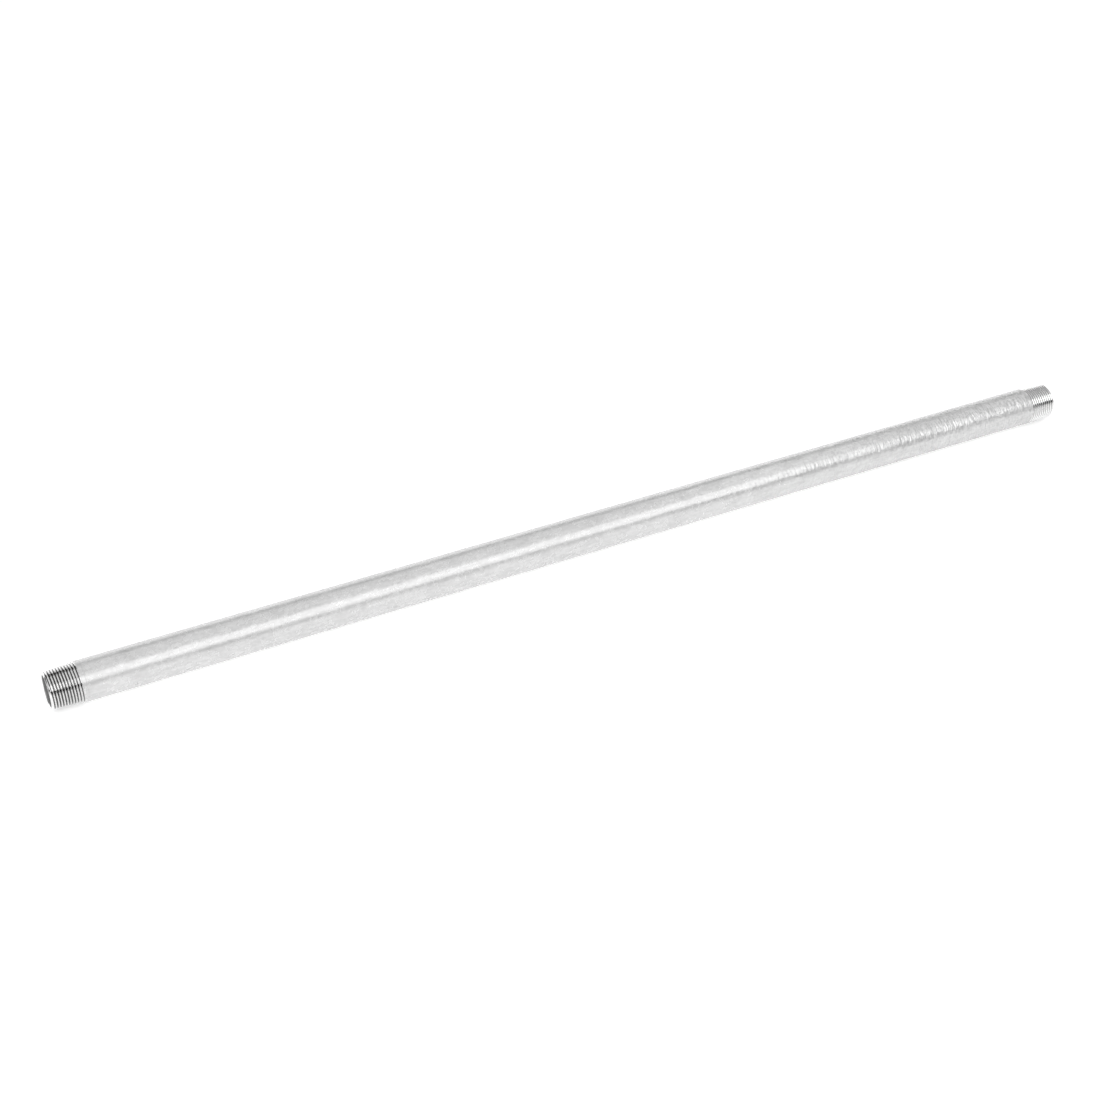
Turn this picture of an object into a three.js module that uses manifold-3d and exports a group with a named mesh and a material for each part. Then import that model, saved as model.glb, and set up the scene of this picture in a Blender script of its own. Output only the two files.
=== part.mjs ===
// A galvanised steel pipe nipple: one length of pipe with a taper thread cut on the outside of both ends.
// Millimetres, +Z up. The pipe lies along X, and the origin is on its axis, halfway along.
import * as THREE from "three";
import { mergeVertices } from "three/addons/utils/BufferGeometryUtils.js";
import Module from "manifold-3d";

// The pipe: nominal size 3/4 inch, standard wall (schedule 40).
const OUTSIDE_DIAMETER = 26.67;
const WALL = 2.87;
const LENGTH = 762; // 30 inches

// The thread: American taper pipe thread, 14 to the inch, right-handed at both ends.
const THREADS_PER_INCH = 14;
const INCH = 25.4;
const FLANK_ANGLE = THREE.MathUtils.degToRad(30); // between a flank and the pipe's radius
const THREAD_DEPTH_IN_PITCHES = 0.8;
const TAPER_ON_DIAMETER = 1 / 16;
const PITCH_DIAMETER_AT_END = 24.579;
const THREADED_TURNS = 12;
const RUNOUT_TURNS = 1.25; // the last turns, where the groove climbs out of the pipe

// The wedge that cuts the groove. It is a little narrower than the pitch, so its turns just miss each other.
const WEDGE_WIDTH_IN_PITCHES = 0.98;
const TURNS_CUT_BEFORE_END = 1.5; // the wedge starts clear of the end face
const CLEARANCE_AFTER_RUNOUT = 0.1;
const MERGE_DISTANCE = 1e-4;

// How each end is finished.
const BEVEL_LENGTH = 2;
const REAM_DEPTH = 0.35; // the 45 degree chamfer in the bore's mouth

// The round section is a polygon whose flats touch the true circle. One flat faces each of +Z, -Z, +Y and -Y.
const SIDES = 32;
const CORNER_SCALE = 1 / Math.cos(Math.PI / SIDES);

const radius = OUTSIDE_DIAMETER / 2;
const boreRadius = radius - WALL;
const halfLength = LENGTH / 2;
const pitch = INCH / THREADS_PER_INCH;
const threadDepth = THREAD_DEPTH_IN_PITCHES * pitch;
const radialTaper = TAPER_ON_DIAMETER / 2;
const rootRadiusAtEnd = (PITCH_DIAMETER_AT_END - threadDepth) / 2;
const crestRadiusAtEnd = rootRadiusAtEnd + threadDepth;
// How far in from the end face the crests reach the pipe's own surface.
const taperedLength = (radius - crestRadiusAtEnd) / radialTaper;

const wasm = await Module();
wasm.setup();

// A closed three.js geometry as a solid that can be joined and cut.
function toSolid(geometry) {
  const bare = geometry.clone();
  bare.deleteAttribute("normal");
  bare.deleteAttribute("uv");
  const merged = mergeVertices(bare, MERGE_DISTANCE);
  const vertProperties = new Float32Array(merged.attributes.position.array);
  const triVerts = withoutSlivers(merged.index.array);
  return new wasm.Manifold(new wasm.Mesh({ numProp: 3, vertProperties, triVerts }));
}

// The triangles that still have three different corners once the vertices are merged.
function withoutSlivers(index) {
  const kept = [];
  for (let i = 0; i < index.length; i += 3) {
    const [a, b, c] = index.slice(i, i + 3);
    if (a !== b && b !== c && c !== a) {
      kept.push(a, b, c);
    }
  }
  return new Uint32Array(kept);
}

function toGeometry(solid) {
  const { vertProperties, triVerts, numProp } = solid.getMesh();
  const points = new Float32Array((vertProperties.length / numProp) * 3);
  for (let i = 0; i < points.length / 3; i++) {
    points.set(vertProperties.subarray(i * numProp, i * numProp + 3), i * 3);
  }
  const geometry = new THREE.BufferGeometry();
  geometry.setAttribute("position", new THREE.BufferAttribute(points, 3));
  geometry.setIndex(new THREE.BufferAttribute(new Uint32Array(triVerts), 1));
  geometry.computeVertexNormals();
  return geometry;
}

// One end's profile as [radius, distance in from the end face], from the bore out to the pipe's surface.
function endProfile() {
  const bevelTopRadius = crestRadiusAtEnd + BEVEL_LENGTH * radialTaper;
  return [
    [boreRadius, REAM_DEPTH],
    [boreRadius + REAM_DEPTH, 0],
    [rootRadiusAtEnd, 0],
    [bevelTopRadius, BEVEL_LENGTH],
    [radius, taperedLength],
  ];
}

// The pipe before threading: bore, end faces, bevels and the slight taper that the threads follow.
function makeBlank() {
  const nearEnd = endProfile().map(([r, inward]) => [r, inward - halfLength]);
  const farEnd = endProfile().map(([r, inward]) => [r, halfLength - inward]).reverse();
  const outline = [...nearEnd, ...farEnd, nearEnd[0]];
  const profile = outline.map(([r, along]) => new THREE.Vector2(r * CORNER_SCALE, along));
  const lathe = new THREE.LatheGeometry(profile, SIDES, Math.PI / SIDES);
  lathe.rotateZ(-Math.PI / 2); // the lathe turns about Y, and the pipe lies along X
  return toSolid(lathe);
}

// How deep the groove's root lies at a distance in from the end face. It climbs steeply in the runout.
function rootRadius(inward) {
  const runoutLength = RUNOUT_TURNS * pitch;
  const runoutStart = THREADED_TURNS * pitch - runoutLength;
  const tapered = rootRadiusAtEnd + Math.min(inward, runoutStart) * radialTaper;
  const clearOfPipe = radius * CORNER_SCALE + CLEARANCE_AFTER_RUNOUT;
  const climbed = Math.max(0, inward - runoutStart) / runoutLength;
  return tapered + climbed * (clearOfPipe - tapered);
}

// The helical wedge that one pass of the die removes at the end on -X: a V section carried along the helix.
function makeGrooveCutter() {
  const steps = Math.round((TURNS_CUT_BEFORE_END + THREADED_TURNS) * SIDES);
  const wedgeHalfWidth = (WEDGE_WIDTH_IN_PITCHES / 2) * pitch;
  const wedgeHeight = wedgeHalfWidth / Math.tan(FLANK_ANGLE);
  const points = [];
  for (let step = 0; step <= steps; step++) {
    const angle = (step + 0.5) * ((2 * Math.PI) / SIDES); // half a side round, at the polygon's corners
    const inward = (step / SIDES - TURNS_CUT_BEFORE_END) * pitch;
    const root = rootRadius(inward);
    const section = [
      [root, inward],
      [root + wedgeHeight, inward + wedgeHalfWidth],
      [root + wedgeHeight, inward - wedgeHalfWidth],
    ];
    for (const [r, along] of section) {
      const cornerRadius = r * CORNER_SCALE;
      points.push(along - halfLength, cornerRadius * Math.cos(angle), cornerRadius * Math.sin(angle));
    }
  }
  const index = [0, 2, 1];
  for (let step = 0; step < steps; step++) {
    for (let corner = 0; corner < 3; corner++) {
      const a = step * 3 + corner;
      const b = step * 3 + ((corner + 1) % 3);
      index.push(a, b, a + 3, b, b + 3, a + 3);
    }
  }
  const last = steps * 3;
  index.push(last, last + 1, last + 2);
  const geometry = new THREE.BufferGeometry();
  geometry.setAttribute("position", new THREE.BufferAttribute(new Float32Array(points), 3));
  geometry.setIndex(index);
  return geometry;
}

// Both ends carry the same right-hand thread, so the second cutter is the first one turned end for end.
function makeThreadedPipe() {
  const cutter = makeGrooveCutter();
  const otherCutter = cutter.clone().rotateZ(Math.PI);
  const threaded = makeBlank().subtract(toSolid(cutter)).subtract(toSolid(otherCutter));
  return toGeometry(threaded);
}

const galvanisedSteel = new THREE.MeshStandardMaterial({
  color: 0xc9cccd,
  roughness: 0.45,
  metalness: 0.9,
});

const pipe = new THREE.Mesh(makeThreadedPipe(), galvanisedSteel);
pipe.name = "threaded_pipe";

const nipple = new THREE.Group();
nipple.add(pipe);

export default nipple;
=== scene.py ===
"""A galvanised steel pipe nipple on a pale studio floor. The pipe lies along X, in metres."""
import math

import bpy
import numpy as np
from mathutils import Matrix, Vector


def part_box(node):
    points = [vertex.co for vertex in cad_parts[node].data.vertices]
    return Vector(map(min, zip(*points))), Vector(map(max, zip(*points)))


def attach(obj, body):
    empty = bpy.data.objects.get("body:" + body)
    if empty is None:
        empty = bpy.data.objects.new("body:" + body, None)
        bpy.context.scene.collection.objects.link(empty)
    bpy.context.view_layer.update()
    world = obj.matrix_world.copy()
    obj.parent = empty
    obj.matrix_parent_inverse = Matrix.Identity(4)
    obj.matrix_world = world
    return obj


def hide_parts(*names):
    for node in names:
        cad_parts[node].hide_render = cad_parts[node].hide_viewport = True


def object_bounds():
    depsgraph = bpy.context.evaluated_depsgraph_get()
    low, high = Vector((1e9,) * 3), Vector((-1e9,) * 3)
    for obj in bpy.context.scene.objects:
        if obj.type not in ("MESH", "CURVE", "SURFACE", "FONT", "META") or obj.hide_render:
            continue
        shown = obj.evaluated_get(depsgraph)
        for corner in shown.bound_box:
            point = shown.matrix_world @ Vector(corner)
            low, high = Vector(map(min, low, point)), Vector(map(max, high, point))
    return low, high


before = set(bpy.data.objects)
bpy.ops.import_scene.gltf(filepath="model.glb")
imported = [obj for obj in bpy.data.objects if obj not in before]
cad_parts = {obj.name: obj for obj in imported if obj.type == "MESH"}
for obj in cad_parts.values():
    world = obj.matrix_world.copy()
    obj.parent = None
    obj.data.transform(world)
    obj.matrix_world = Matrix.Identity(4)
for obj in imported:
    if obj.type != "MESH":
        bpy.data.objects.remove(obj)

cad_low, cad_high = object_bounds()
node_low, node_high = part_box("threaded_pipe")

MM = 0.001

# ---------------------------------------------------------------- sizes of the pipe
PIPE_RADIUS = (node_high.z - node_low.z) / 2
HALF_LENGTH = (node_high.x - node_low.x) / 2
WALL = 2.87 * MM
BORE_RADIUS = PIPE_RADIUS - WALL

# American taper pipe thread, 14 to the inch, as in the CAD model.
PITCH = 25.4 * MM / 14
THREAD_DEPTH = 0.8 * PITCH
RADIAL_TAPER = 1 / 32
ROOT_AT_END = (24.579 * MM - THREAD_DEPTH) / 2
CREST_AT_END = ROOT_AT_END + THREAD_DEPTH
THREADED_TURNS = 12
RUNOUT_TURNS = 1.25
TURNS_CUT_BEFORE_END = 1.5
CAD_SIDES = 32
# Where the groove starts round the pipe, in turns. The CAD model puts it at a corner of its polygon.
GROOVE_PHASE = -TURNS_CUT_BEFORE_END - 0.5 / CAD_SIDES
NO_GROOVE = 1.0                       # a radius in metres, far outside the pipe
CLEAR_OF_PIPE = 0.1 * MM              # the groove's root ends this far outside the pipe
FLANK_ANGLE = math.radians(30)        # between a flank and the pipe's radius
FLANK_SLOPE = 1 / math.tan(FLANK_ANGLE)

BEVEL_LENGTH = 2 * MM
REAM_DEPTH = 0.35 * MM
EDGE_ROUND = 0.07 * MM                # the small round on each cut edge
MOUTH_ROUND_POINT = (0.3, 0.1)        # how far in and under the mouth's edge its round passes, in EDGE_ROUND
CREST_ROUND = 0.2 * MM                # a crest left a little blunt by the die
ROOT_ROUND = 0.05 * MM

# ---------------------------------------------------------------- how finely it is drawn
THREAD_SIDES = 96
THREAD_ROWS_PER_TURN = 22
THREAD_ZONE = 23 * MM                 # length of the separately built piece at each end
BARREL_SIDES = 64
BARREL_ROWS = 1500
THREAD_BORE_ROWS = 24
BARREL_BORE_ROWS = 40
FILLET_STEPS = 4

# ---------------------------------------------------------------- the zinc's surface
SWELL_DEPTH = 0.05 * MM
GRAIN_DEPTH = 0.01 * MM
RIPPLE_DEPTH = 0.25 * MM              # where the zinc was dragged, towards the +X end
# Each pattern's spacing along the pipe, how many of its cells go round, and its random seed.
SWELL = (9 * MM, 9, 11)
GRAIN = (1.9 * MM, 32, 12)
WANDER = (6 * MM, 7, 13)
RIPPLE = (1.9 * MM, 13, 14)
PATCHES = (16 * MM, 6, 15)
RIPPLE_WANDER = 0.9                   # how far, in ripples, each one wanders along the pipe
PATCH_EDGE = (-0.35, 0.35)            # the pattern's heights between which a dragged patch fades in
LEAST_DRAG = 0.4                      # how strong the ripples are between the patches
DRAG_ZONE = (0.03, 0.26)              # x where the zinc starts to be dragged, and where it is fully so
JOIN_FADE = 2.5 * MM                  # the zinc's relief dies away over this length at each thread
ZINC_GONE = 0.12 * MM                 # a thread's surface this far under the pipe's has lost its zinc
ZINC_WHOLE = 0.04 * MM                # and this far under it still has it all

# ---------------------------------------------------------------- colours
ZINC_DARK = (0.52, 0.52, 0.52)
ZINC_LIGHT = (0.75, 0.75, 0.75)
ZINC_METALLIC = 0.28                  # weathered zinc scatters most of its light
DRAGGED_METALLIC = 0.52               # and is shinier where it was dragged
STEEL_DARK = (0.76, 0.76, 0.76)
STEEL_LIGHT = (0.92, 0.92, 0.92)
PAINTED_SHADE_COLOUR = (0.15, 0.15, 0.15)             # painted shade: the dark colour painted deep in the thread's grooves and in the bores
PAINTED_SHADE_DEPTHS = (0.45, 1.0)             # the share of a groove's depth where the painted shade starts and is darkest
SHALLOWEST_SHADED_GROOVE = 0.25 * MM   # a shallower groove takes the painted shade as if it were this deep
# painted shade in the bores: how far their colour is darkened towards the shade colour
BORE_PAINTED_SHADE = 0.6

# ---------------------------------------------------------------- finishes
METAL_SPECULAR = 0.2
NOISE_SPAN = (0.35, 0.65)             # the middle of a noise pattern's range, where most of it lies
WIDE_NOISE_SPAN = (0.3, 0.7)
TWO_PATTERNS_SPAN = (0.3, 1.6)        # the range of the mottle and the crystals added together
ZINC_ROUGHNESS = (0.2, 0.3)
SMOOTHED_BY_DRAGGING = 0.05
MOTTLE_HEIGHT = 0.02 * MM
STREAK_HEIGHT = 1.1 * MM
STEEL_ROUGHNESS = (0.1, 0.18)
TOOL_LINE_HEIGHT = 0.006 * MM

# ---------------------------------------------------------------- view
VIEW_AZIMUTH = math.radians(-26.44)
VIEW_ELEVATION = math.radians(36.03)
VIEW_DISTANCE = 1.3194
VIEW_AIM = Vector((-0.0376, -0.0013, -0.0016))
LENS = 63.98
SENSOR = 36

# ---------------------------------------------------------------- studio
FLOOR_RADIUS = 14
WALL_HEIGHT = 2
FLOOR_SIDES = 96
FLOOR_COLOUR = 0.72
FLOOR_ROUGHNESS = 0.9
FLOOR_SPECULAR = 0.1
FLOOR_GLOW = 0.48                     # the floor's own light, so that it is nearly white
ROOM_LIGHT = 0.05


def lattice_noise(along, around, cells_around, seed):
    """Smooth noise from -1 to 1. along is in cells and around in turns, and it joins up round the pipe."""
    table_length = 1024
    table = np.random.default_rng(seed).random((table_length, cells_around)) * 2 - 1
    column = around * cells_around
    i = np.floor(along).astype(int)
    j = np.floor(column).astype(int)
    u = along - i
    v = column - j
    u = u * u * (3 - 2 * u)
    v = v * v * (3 - 2 * v)
    i0, i1 = i % table_length, (i + 1) % table_length
    j0, j1 = j % cells_around, (j + 1) % cells_around
    low = table[i0, j0] * (1 - v) + table[i0, j1] * v
    high = table[i1, j0] * (1 - v) + table[i1, j1] * v
    return low * (1 - u) + high * u


def smooth_step(value, start, end):
    t = np.clip((value - start) / (end - start), 0, 1)
    return t * t * (3 - 2 * t)


def smaller_of(a, b, blend):
    """The smaller of two heights, rounded where they cross."""
    mix = np.clip(0.5 + (b - a) / (2 * blend), 0, 1)
    return b * (1 - mix) + a * mix - blend * mix * (1 - mix)


# ---------------------------------------------------------------- building closed tubes
def closed_tube(name, rows, sides):
    """A closed mesh from rings of points. Each row is (x, radius, zinc, shade), and all but x may vary
    round.

    zinc is 1 where the surface still has its zinc and 0 where it was cut away. shade is painted shade: 0
    where the metal keeps its own colour and 1 where it is painted dark, deep in the thread's grooves and in
    the bores.
    """
    angle = np.arange(sides) * (2 * math.pi / sides)
    points = np.empty((len(rows), sides, 3))
    zinc_values = np.empty((len(rows), sides))
    painted_shade_values = np.empty((len(rows), sides))
    for k, (x, radius, zinc, painted_shade) in enumerate(rows):
        points[k, :, 0] = x
        points[k, :, 1] = radius * np.cos(angle)
        points[k, :, 2] = radius * np.sin(angle)
        zinc_values[k] = zinc
        painted_shade_values[k] = painted_shade
    ring = np.arange(len(rows))[:, None] * sides
    step = np.arange(sides)[None, :]
    here = ring + step
    beside = ring + (step + 1) % sides
    next_ring = np.roll(ring, -1, axis=0)
    faces = np.stack([here, beside, next_ring + (step + 1) % sides, next_ring + step], axis=-1)
    mesh = bpy.data.meshes.new(name)
    mesh.from_pydata(points.reshape(-1, 3).tolist(), [], faces.reshape(-1, 4).tolist())
    mesh.attributes.new("zinc", "FLOAT", "POINT").data.foreach_set("value", zinc_values.ravel())
    mesh.attributes.new("painted_shade", "FLOAT", "POINT").data.foreach_set("value", painted_shade_values.ravel())
    mesh.shade_smooth()
    piece = bpy.data.objects.new(name, mesh)
    bpy.context.scene.collection.objects.link(piece)
    return piece


def turns_round(sides):
    return np.arange(sides) / sides


# ---------------------------------------------------------------- the threaded ends
def groove_root(inward):
    """Radius of the groove's root, climbing out of the pipe in the runout."""
    runout_start = (THREADED_TURNS - RUNOUT_TURNS) * PITCH
    tapered = ROOT_AT_END + np.minimum(inward, runout_start) * RADIAL_TAPER
    climbed = np.maximum(0, inward - runout_start) / (RUNOUT_TURNS * PITCH)
    return tapered + climbed * (PIPE_RADIUS + CLEAR_OF_PIPE - tapered)


def blank_radius(inward):
    """Radius before threading: a rounded edge, the bevel, the taper, then the pipe's own surface."""
    bevel_top = CREST_AT_END + BEVEL_LENGTH * RADIAL_TAPER
    bevel = ROOT_AT_END + (bevel_top - ROOT_AT_END) * inward / BEVEL_LENGTH
    taper = CREST_AT_END + inward * RADIAL_TAPER
    blank = min(bevel, taper, PIPE_RADIUS)
    into_edge = max(0, 1 - inward / EDGE_ROUND)
    return blank - EDGE_ROUND * (1 - math.sqrt(1 - into_edge ** 2))


def threaded_radius(inward):
    """The thread's radius all the way round, at one distance in from the end face."""
    phase = inward / PITCH - turns_round(THREAD_SIDES) - GROOVE_PHASE
    nearest_turn = np.round(phase)
    offset = (phase - nearest_turn) * PITCH
    centre = inward - offset
    flank = (np.sqrt(offset ** 2 + ROOT_ROUND ** 2) - ROOT_ROUND) * FLANK_SLOPE
    groove = np.where(nearest_turn <= THREADED_TURNS, groove_root(centre) + flank, NO_GROOVE)
    return smaller_of(blank_radius(inward), groove, CREST_ROUND)


def thread_rows():
    """Rows from the end face in over the thread and back out through the bore, by their distance in."""
    rows = []
    fillet = [EDGE_ROUND * (1 - math.cos(math.pi / 2 * k / FILLET_STEPS)) for k in range(FILLET_STEPS)]
    count = round(THREAD_ZONE / PITCH * THREAD_ROWS_PER_TURN)
    for inward in [*fillet, *np.linspace(EDGE_ROUND, THREAD_ZONE, count)]:
        radius = threaded_radius(inward)
        zinc = smooth_step(radius, PIPE_RADIUS - ZINC_GONE, PIPE_RADIUS - ZINC_WHOLE)
        blank = blank_radius(inward)
        # painted shade: the deeper a point lies in its groove, the darker its colour is painted
        depth = (blank - radius) / max(blank - groove_root(inward), SHALLOWEST_SHADED_GROOVE)
        rows.append((inward, radius, zinc, smooth_step(depth, *PAINTED_SHADE_DEPTHS)))
    mouth = BORE_RADIUS + REAM_DEPTH
    # the bore's inside is painted with shade
    for inward in np.linspace(THREAD_ZONE, REAM_DEPTH * 2, THREAD_BORE_ROWS):
        rows.append((inward, BORE_RADIUS, 1, BORE_PAINTED_SHADE))
    rows.append((REAM_DEPTH + EDGE_ROUND, BORE_RADIUS, 1, BORE_PAINTED_SHADE))
    rows.append((REAM_DEPTH - EDGE_ROUND, BORE_RADIUS + EDGE_ROUND, 0, 0))
    rows.append((EDGE_ROUND, mouth - EDGE_ROUND, 0, 0))
    inward, under = MOUTH_ROUND_POINT
    rows.append((EDGE_ROUND * inward, mouth - EDGE_ROUND * under, 0, 0))
    rows.append((0, mouth + EDGE_ROUND, 0, 0))
    return rows


def make_thread(name, end):
    """The threaded end on -X (end = -1) or +X (end = 1). The +X one is the same end turned about Z."""
    rows = [(inward - HALF_LENGTH, *rest) for inward, *rest in thread_rows()]
    piece = closed_tube(name, rows, THREAD_SIDES)
    if end > 0:
        mesh = piece.data
        points = np.empty(len(mesh.vertices) * 3)
        mesh.vertices.foreach_get("co", points)
        turned = points.reshape(-1, 3) * (-1, -1, 1)
        mesh.vertices.foreach_set("co", turned.ravel())
        mesh.update()
    return piece


# ---------------------------------------------------------------- the galvanised barrel
def relief_pattern(x, kind, shift=0):
    """One pattern's height at x, from -1 to 1, all the way round the barrel."""
    spacing, cells_round, seed = kind
    along = np.full(BARREL_SIDES, x) / spacing + shift
    return lattice_noise(along, turns_round(BARREL_SIDES), cells_round, seed)


def zinc_relief(x):
    """How far the zinc's surface lies under the pipe's full radius at x, all the way round."""
    swell = relief_pattern(x, SWELL)
    grain = relief_pattern(x, GRAIN)
    ripple = relief_pattern(x, RIPPLE, shift=relief_pattern(x, WANDER) * RIPPLE_WANDER)
    patch = smooth_step(relief_pattern(x, PATCHES), *PATCH_EDGE)
    dragged = smooth_step(x, *DRAG_ZONE) * (LEAST_DRAG + (1 - LEAST_DRAG) * patch)
    depth = (
        SWELL_DEPTH * (0.5 + 0.5 * swell)
        + GRAIN_DEPTH * (0.5 + 0.5 * grain)
        + RIPPLE_DEPTH * dragged * (0.5 + 0.5 * ripple)
    )
    from_join = HALF_LENGTH - THREAD_ZONE - abs(x)
    return depth * min(1, max(0, from_join / JOIN_FADE))


def make_barrel():
    half = HALF_LENGTH - THREAD_ZONE
    rows = []
    for x in np.linspace(-half, half, BARREL_ROWS):
        rows.append((x, PIPE_RADIUS - zinc_relief(x), 1, 0))
    # the barrel's bore is painted with shade as well
    for x in np.linspace(half, -half, BARREL_BORE_ROWS):
        rows.append((x, BORE_RADIUS, 1, BORE_PAINTED_SHADE))
    return closed_tube("zinc_barrel", rows, BARREL_SIDES)


# ---------------------------------------------------------------- materials
class Finish:
    """A metal's node tree, with short calls for the nodes that it uses. Patterns are in cells to a mm."""

    # The mix node has its own two inputs and output for each kind of value, known by their places.
    MIX_SOCKETS = {"FLOAT": (2, 3, 0), "VECTOR": (4, 5, 1), "RGBA": (6, 7, 2)}

    def __init__(self, name):
        self.material = bpy.data.materials.new(name)
        self.material.use_nodes = True
        self.nodes = self.material.node_tree.nodes
        self.links = self.material.node_tree.links
        self.shader = self.nodes["Principled BSDF"]
        self.shader.inputs["Specular IOR Level"].default_value = METAL_SPECULAR
        self.place = self.nodes.new("ShaderNodeTexCoord").outputs["Object"]

    def scaled(self, x, y, z):
        """Object coordinates, as this many pattern cells to a millimetre along each axis."""
        node = self.nodes.new("ShaderNodeMapping")
        node.inputs["Scale"].default_value = (x / MM, y / MM, z / MM)
        self.links.new(self.place, node.inputs["Vector"])
        return node.outputs["Vector"]

    def noise(self, cells_along, cells_across, detail=3, roughness=0.55, distortion=0):
        node = self.nodes.new("ShaderNodeTexNoise")
        node.inputs["Scale"].default_value = 1
        node.inputs["Detail"].default_value = detail
        node.inputs["Roughness"].default_value = roughness
        node.inputs["Distortion"].default_value = distortion
        self.links.new(self.scaled(cells_along, cells_across, cells_across), node.inputs["Vector"])
        return node.outputs["Fac"]

    def cells(self, per_mm):
        node = self.nodes.new("ShaderNodeTexVoronoi")
        node.inputs["Scale"].default_value = 1
        self.links.new(self.scaled(per_mm, per_mm, per_mm), node.inputs["Vector"])
        bright = self.nodes.new("ShaderNodeSeparateColor")
        self.links.new(node.outputs["Color"], bright.inputs["Color"])
        return bright.outputs["Red"]

    def mapped(self, value, low, high, to_low, to_high):
        node = self.nodes.new("ShaderNodeMapRange")
        node.inputs["From Min"].default_value = low
        node.inputs["From Max"].default_value = high
        node.inputs["To Min"].default_value = to_low
        node.inputs["To Max"].default_value = to_high
        self.links.new(value, node.inputs["Value"])
        return node.outputs["Result"]

    def maths(self, operation, a, b):
        node = self.nodes.new("ShaderNodeMath")
        node.operation = operation
        self.links.new(a, node.inputs[0])
        self.links.new(b, node.inputs[1])
        return node.outputs["Value"]

    def along_pipe(self):
        node = self.nodes.new("ShaderNodeSeparateXYZ")
        self.links.new(self.place, node.inputs["Vector"])
        return node.outputs["X"]

    def tone(self, value, dark, light):
        """A colour from dark where value is 0 to light where it is 1."""
        node = self.nodes.new("ShaderNodeValToRGB")
        node.color_ramp.elements[0].color = (*dark, 1)
        node.color_ramp.elements[1].color = (*light, 1)
        self.links.new(value, node.inputs["Fac"])
        return node.outputs["Color"]

    def attribute(self, name):
        node = self.nodes.new("ShaderNodeAttribute")
        node.attribute_name = name
        return node.outputs["Fac"]

    def mixed(self, factor, a, b, kind):
        """a where factor is 0 and b where it is 1."""
        node = self.nodes.new("ShaderNodeMix")
        node.data_type = kind
        input_a, input_b, output = self.MIX_SOCKETS[kind]
        self.links.new(factor, node.inputs[0])
        self.links.new(a, node.inputs[input_a])
        self.links.new(b, node.inputs[input_b])
        return node.outputs[output]

    def shade(self, colour, metallic, roughness, normal):
        self.links.new(colour, self.shader.inputs["Base Color"])
        self.links.new(metallic, self.shader.inputs["Metallic"])
        self.links.new(roughness, self.shader.inputs["Roughness"])
        self.links.new(normal, self.shader.inputs["Normal"])

    def added(self, *values):
        total = values[0]
        for value in values[1:]:
            total = self.maths("ADD", total, value)
        return total

    def bump(self, height, depth, below=None):
        """The surface's normal with this height on it, over the normal below if there is one."""
        node = self.nodes.new("ShaderNodeBump")
        node.inputs["Strength"].default_value = 1
        node.inputs["Distance"].default_value = depth
        self.links.new(height, node.inputs["Height"])
        if below is not None:
            self.links.new(below, node.inputs["Normal"])
        return node.outputs["Normal"]


def zinc_look(metal):
    """Hot-dip zinc: finely mottled with faint crystals, and shinier and streaked where it was dragged.

    Gives its colour, metallic share, roughness and normal.
    """
    mottle = metal.noise(cells_along=0.45, cells_across=0.6, detail=3, roughness=0.6)
    patches = metal.noise(cells_along=0.06, cells_across=0.09, detail=3)
    crystals = metal.cells(per_mm=0.35)
    drawn = metal.noise(cells_along=0.08, cells_across=0.8, detail=3)
    streaks = metal.noise(cells_along=0.6, cells_across=0.13, detail=3, roughness=0.6, distortion=0.5)
    dragged = metal.mapped(metal.along_pipe(), *DRAG_ZONE, 0, 1)

    # Each pattern adds its own share to the tone, and the shares come to 1.
    tone = metal.added(
        metal.mapped(mottle, *NOISE_SPAN, to_low=0, to_high=0.35),
        metal.mapped(patches, *NOISE_SPAN, to_low=0, to_high=0.2),
        metal.mapped(crystals, 0, 1, to_low=0, to_high=0.2),
        metal.mapped(drawn, *NOISE_SPAN, to_low=0, to_high=0.25),
    )
    colour = metal.tone(tone, ZINC_DARK, ZINC_LIGHT)
    metallic = metal.mapped(dragged, 0, 1, ZINC_METALLIC, DRAGGED_METALLIC)
    roughness = metal.added(
        metal.mapped(metal.added(mottle, crystals), *TWO_PATTERNS_SPAN, *ZINC_ROUGHNESS),
        metal.mapped(dragged, 0, 1, 0, -SMOOTHED_BY_DRAGGING),
    )
    fine = metal.bump(mottle, MOTTLE_HEIGHT)
    ragged = metal.maths("MULTIPLY", streaks, dragged)
    return colour, metallic, roughness, metal.bump(ragged, STREAK_HEIGHT, fine)


def steel_look(metal):
    """Bare steel fresh from the die, with fine tool lines. Gives its colour, roughness and normal."""
    tool_lines = metal.noise(cells_along=9, cells_across=0.1, detail=2)
    stain = metal.noise(cells_along=0.5, cells_across=0.5, detail=4, roughness=0.65)
    tone = metal.added(
        metal.mapped(stain, *WIDE_NOISE_SPAN, to_low=0, to_high=0.7),
        metal.mapped(tool_lines, *WIDE_NOISE_SPAN, to_low=0, to_high=0.3),
    )
    colour = metal.tone(tone, STEEL_DARK, STEEL_LIGHT)
    roughness = metal.mapped(tool_lines, *WIDE_NOISE_SPAN, *STEEL_ROUGHNESS)
    return colour, roughness, metal.bump(tool_lines, TOOL_LINE_HEIGHT)


def with_painted_shade(metal, colour):
    """The colour, painted darker with shade deep in the thread's grooves and in the bores."""
    painted_shade = metal.nodes.new("ShaderNodeRGB").outputs["Color"]
    painted_shade.default_value = (*PAINTED_SHADE_COLOUR, 1)
    return metal.mixed(metal.attribute("painted_shade"), colour, painted_shade, "RGBA")


def zinc_finish():
    metal = Finish("hot_dip_zinc")
    colour, metallic, roughness, normal = zinc_look(metal)
    # the colour gets painted shade in the bore
    metal.shade(with_painted_shade(metal, colour), metallic, roughness, normal)
    return metal.material


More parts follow.
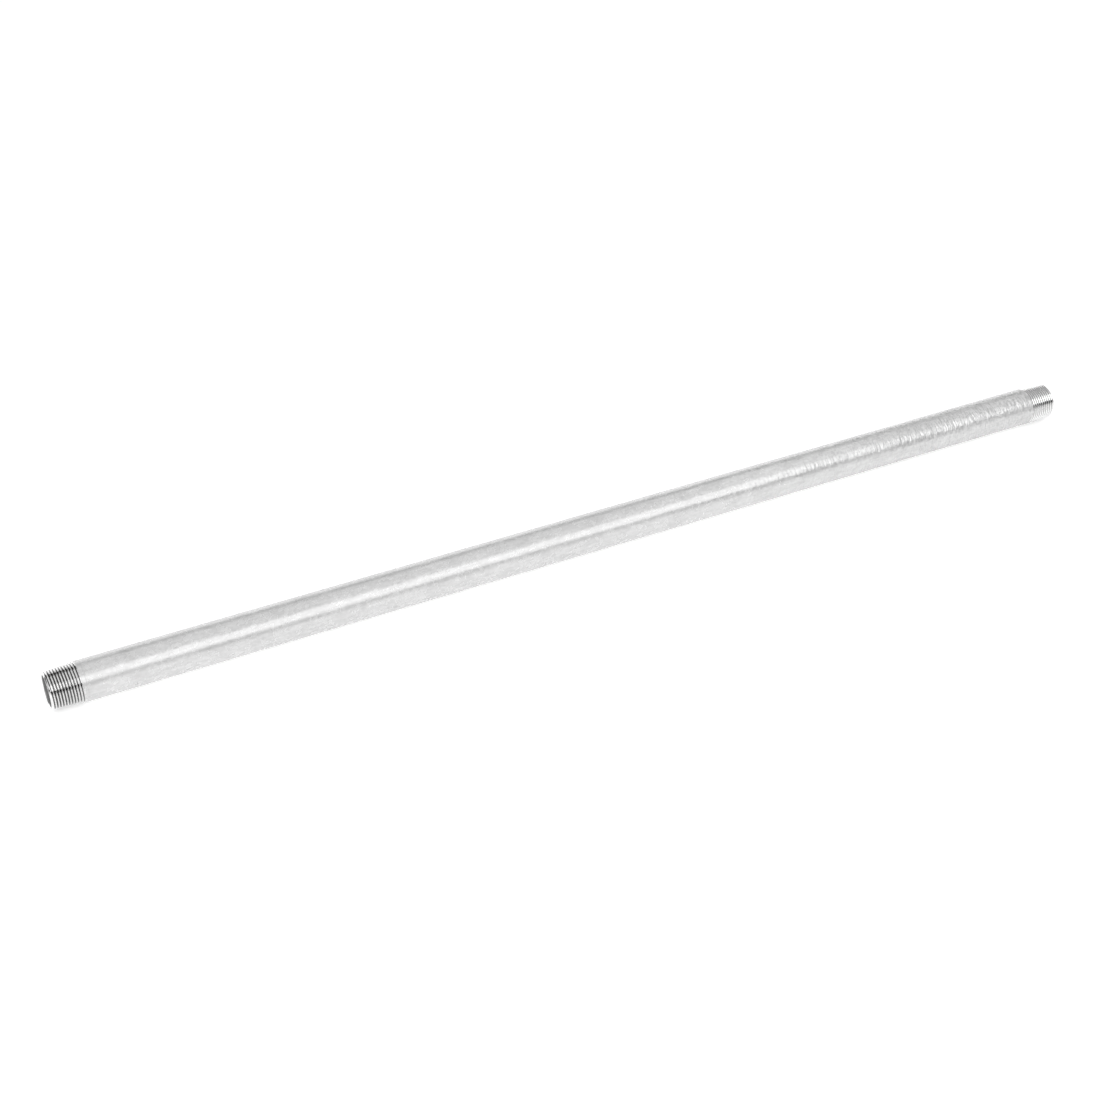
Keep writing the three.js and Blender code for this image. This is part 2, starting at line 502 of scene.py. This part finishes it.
def thread_finish():
    """Cut steel, with its zinc still on where the die didn't reach: the bore and the thread's last lip."""
    metal = Finish("cut_steel_with_zinc_left")
    coated = metal.attribute("zinc")
    zinc_colour, zinc_metallic, zinc_roughness, zinc_normal = zinc_look(metal)
    steel_colour, steel_roughness, steel_normal = steel_look(metal)
    colour = metal.mixed(coated, steel_colour, zinc_colour, "RGBA")
    bare = metal.mapped(coated, 0, 1, 1, 0)
    metallic = metal.maths("MAXIMUM", bare, zinc_metallic)
    roughness = metal.mixed(coated, steel_roughness, zinc_roughness, "FLOAT")
    normal = metal.mixed(coated, steel_normal, zinc_normal, "VECTOR")
    # the colour gets painted shade in the grooves and the bore
    metal.shade(with_painted_shade(metal, colour), metallic, roughness, normal)
    return metal.material


# ---------------------------------------------------------------- the pipe
def place(piece, material):
    piece.data.materials.append(material)
    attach(piece, "root")
    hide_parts("threaded_pipe")


thread_metal = thread_finish()
place(make_barrel(), zinc_finish())
place(make_thread("cut_thread_minus_x", -1), thread_metal)
place(make_thread("cut_thread_plus_x", 1), thread_metal)


# ---------------------------------------------------------------- studio
def pale_paint():
    paint = bpy.data.materials.new("pale_studio_paint")
    paint.use_nodes = True
    shader = paint.node_tree.nodes["Principled BSDF"]
    shader.inputs["Base Color"].default_value = (FLOOR_COLOUR, FLOOR_COLOUR, FLOOR_COLOUR, 1)
    shader.inputs["Roughness"].default_value = FLOOR_ROUGHNESS
    shader.inputs["Specular IOR Level"].default_value = FLOOR_SPECULAR
    shader.inputs["Emission Color"].default_value = (1, 1, 1, 1)
    shader.inputs["Emission Strength"].default_value = FLOOR_GLOW
    return paint


def make_floor():
    """A round pale floor with a low wall round its rim, which only side views see."""
    angles = [2 * math.pi * k / FLOOR_SIDES for k in range(FLOOR_SIDES)]
    rim = [(FLOOR_RADIUS * math.cos(a), FLOOR_RADIUS * math.sin(a), 0) for a in angles]
    top = [(x, y, WALL_HEIGHT) for x, y, _ in rim]
    disc = tuple(range(FLOOR_SIDES))
    wall = []
    for k in disc:
        beside = (k + 1) % FLOOR_SIDES
        wall.append((k, beside, FLOOR_SIDES + beside, FLOOR_SIDES + k))
    mesh = bpy.data.meshes.new("studio_floor")
    mesh.from_pydata(rim + top, [], [disc, *wall])
    mesh.materials.append(pale_paint())
    floor = bpy.data.objects.new("studio_floor", mesh)
    floor.location.z = cad_low.z
    bpy.context.scene.collection.objects.link(floor)


def new_panel(name, shape, radiance, width, height):
    light = bpy.data.lights.new(name, "AREA")
    light.shape = shape
    light.size = width
    light.size_y = height
    light.energy = radiance * math.pi * width * height
    lamp = bpy.data.objects.new(name, light)
    lamp.visible_camera = False
    bpy.context.scene.collection.objects.link(lamp)
    return lamp


def soft_panel(name, towards, distance, length, spread, radiance):
    """A long panel of light that faces the pipe and runs from x = length[0] to length[1].

    towards is its direction across the pipe in degrees: 0 is level in front (-Y), 90 overhead and 180 level
    behind. spread is how many degrees it covers.
    """
    angle = math.radians(towards)
    height = 2 * distance * math.tan(math.radians(spread / 2))
    lamp = new_panel(name, "RECTANGLE", radiance, length[1] - length[0], height)
    away = Vector((0, -math.cos(angle), math.sin(angle)))
    lamp.location = Vector(((length[0] + length[1]) / 2, 0, 0)) + away * distance
    lamp.rotation_euler = (math.radians(90 - towards), 0, 0)


def side_panel(name, direction, distance, size, radiance):
    """A square panel of light that faces the middle of the pipe from the given direction."""
    lamp = new_panel(name, "SQUARE", radiance, size, size)
    away = Vector(direction).normalized()
    lamp.location = away * distance
    lamp.rotation_mode = "QUATERNION"
    lamp.rotation_quaternion = (-away).to_track_quat("-Z", "Y")


def make_lights():
    """Soft panels along the pipe. The dark gaps between them are what give metal its dark bands."""
    soft_panel("front_softbox", towards=46, distance=2.0, length=(-3.2, 2.1), spread=37, radiance=2.2)
    soft_panel("overhead_panel", towards=99, distance=2.2, length=(-3.5, 1.3), spread=66, radiance=0.7)
    soft_panel(
        "overhead_panel_brighter_end", towards=99, distance=2.2, length=(1.3, 3.5), spread=66, radiance=1.3
    )
    soft_panel("back_panel", towards=166, distance=2.6, length=(-3.0, 3.2), spread=28, radiance=1.1)
    side_panel("left_panel", direction=(-0.85, -0.12, 0.5), distance=2.2, size=1.3, radiance=0.6)
    world = bpy.data.worlds.new("dim_room")
    world.use_nodes = True
    world.node_tree.nodes["Background"].inputs["Color"].default_value = (1, 1, 1, 1)
    world.node_tree.nodes["Background"].inputs["Strength"].default_value = ROOM_LIGHT
    bpy.context.scene.world = world
    bpy.context.scene.view_settings.view_transform = "Standard"


def make_camera():
    camera = bpy.data.cameras.new("camera")
    camera.lens = LENS
    camera.sensor_width = SENSOR
    holder = bpy.data.objects.new("camera", camera)
    back = Vector((
        math.sin(VIEW_AZIMUTH) * math.cos(VIEW_ELEVATION),
        -math.cos(VIEW_AZIMUTH) * math.cos(VIEW_ELEVATION),
        math.sin(VIEW_ELEVATION),
    ))
    holder.location = VIEW_AIM + back * VIEW_DISTANCE
    holder.rotation_mode = "QUATERNION"
    holder.rotation_quaternion = (-back).to_track_quat("-Z", "Y")
    bpy.context.scene.collection.objects.link(holder)
    bpy.context.scene.camera = holder


make_floor()
make_lights()
make_camera()
